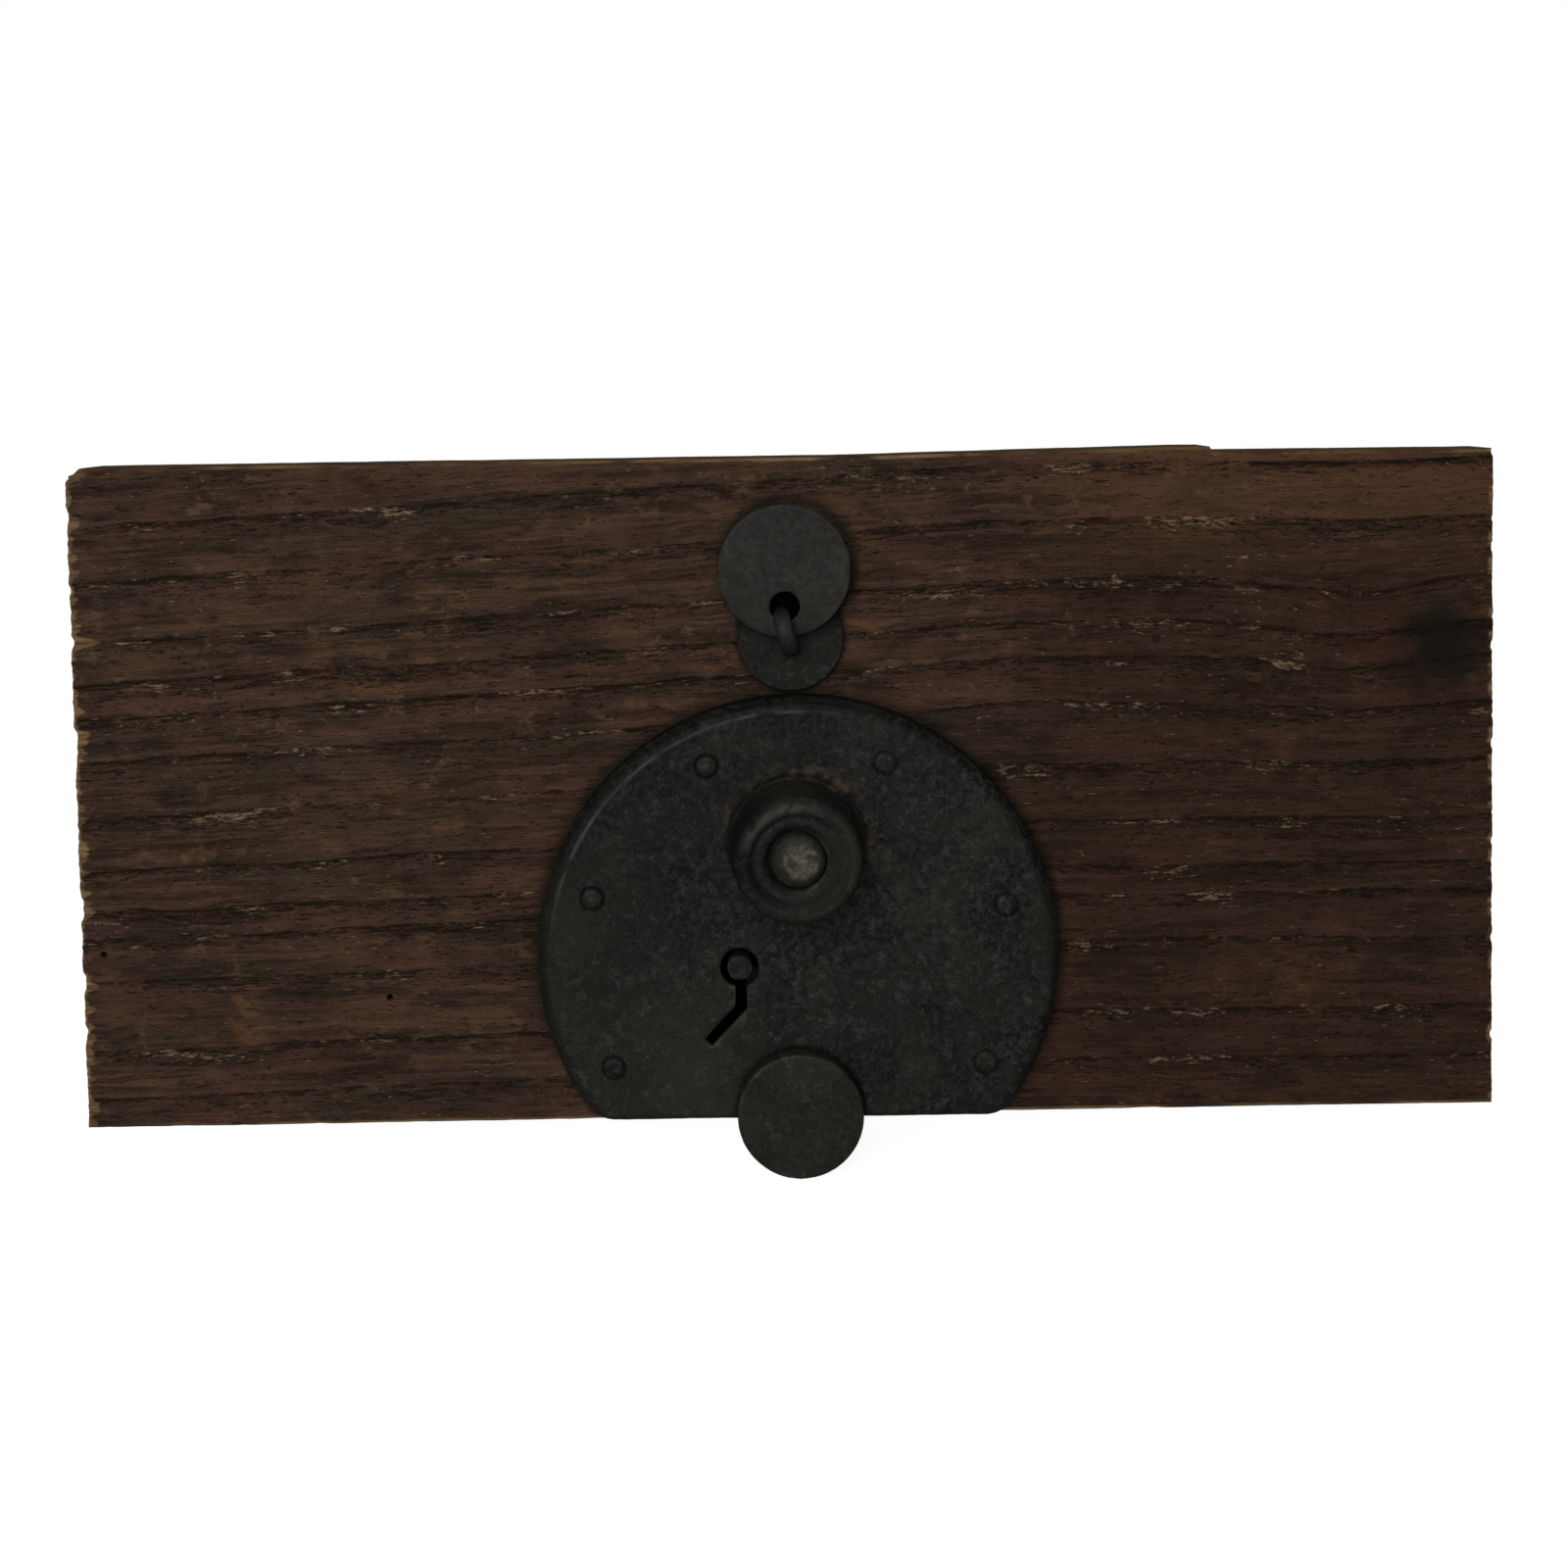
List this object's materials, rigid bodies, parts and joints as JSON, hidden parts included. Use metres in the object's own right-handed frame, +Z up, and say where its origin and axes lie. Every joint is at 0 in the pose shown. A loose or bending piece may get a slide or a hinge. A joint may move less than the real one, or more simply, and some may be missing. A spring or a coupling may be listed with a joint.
{
  "type": "drawer front lock with push button bolt and disc pull",
  "caption": "Wooden drawer front with a round iron box lock: a push button throws the bolt down behind a guard disc, a key post sits in the keyhole, and a disc pull flips on its eye.",
  "frame": {"origin": "on the back face of the board, straight behind the centre of the round lock plate", "axes": "+Z up, +X right, the front of the board looks along -Y"},
  "size_m": [0.4041, 0.0445, 0.202],
  "materials": {
    "wood": "old dark stained open-grained softwood, worn and unpolished",
    "dark_iron": "blackened wrought iron, mottled and matt",
    "worn_iron": "blackened iron with a bright worn tip",
    "inner_iron": "forged iron, filed on its running faces",
    "spring_steel": "dark tempered strip"
  },
  "bodies": {
    "lock_body": {"board": "wood", "lock_plate": "dark_iron", "plate_nails": "dark_iron", "boss_collar": "dark_iron", "collar_washer": "inner_iron", "bolt_guide_upper": "inner_iron", "bolt_guide_lower": "inner_iron", "spring_seat": "inner_iron", "guide_rivets": "inner_iron", "back_plate": "inner_iron", "back_plate_nails": "inner_iron", "key_post": "inner_iron", "detent_pivot": "inner_iron", "spring_anchor": "inner_iron", "ward_rings": "inner_iron", "bolt_return_spring": "spring_steel", "detent_spring": "spring_steel", "guard_disc": "dark_iron", "guard_disc_rivets": "dark_iron", "pull_backplate": "dark_iron", "pull_eye": "dark_iron"},
    "button": {"push_button": "worn_iron", "button_wedge": "inner_iron", "wedge_pin": "inner_iron"},
    "bolt": {"bolt": "inner_iron", "bolt_ramp": "inner_iron", "ramp_rivets": "inner_iron"},
    "detent": {"detent_lever": "inner_iron"},
    "pull": {"pull_disc": "dark_iron"}
  },
  "joints": [
    {"name": "button_press", "type": "slide", "parent": "lock_body", "child": "button", "axis": [0, 1, 0], "range_m": [0, 0.006]},
    {"name": "bolt_throw", "type": "slide", "parent": "lock_body", "child": "bolt", "axis": [0, 0, -1], "range_m": [0, 0.009], "stiffness_N_per_m": 200, "springref_m": -0.006, "deforming": ["bolt_return_spring"]},
    {"name": "detent_lift", "type": "hinge", "parent": "lock_body", "child": "detent", "pos_m": [-0.022, -0.0125, 0.0352], "axis": [0, 1, 0], "range_deg": [0, 9], "deforming": ["detent_spring"]},
    {"name": "pull_flip", "type": "hinge", "parent": "lock_body", "child": "pull", "pos_m": [-0.002, -0.0227, 0.0912], "axis": [1, 0, 0], "range_deg": [0, 160]}
  ],
  "couplings": [
    {"joint": "bolt_throw", "follows": "button_press", "ratio": 1.5}
  ]
}
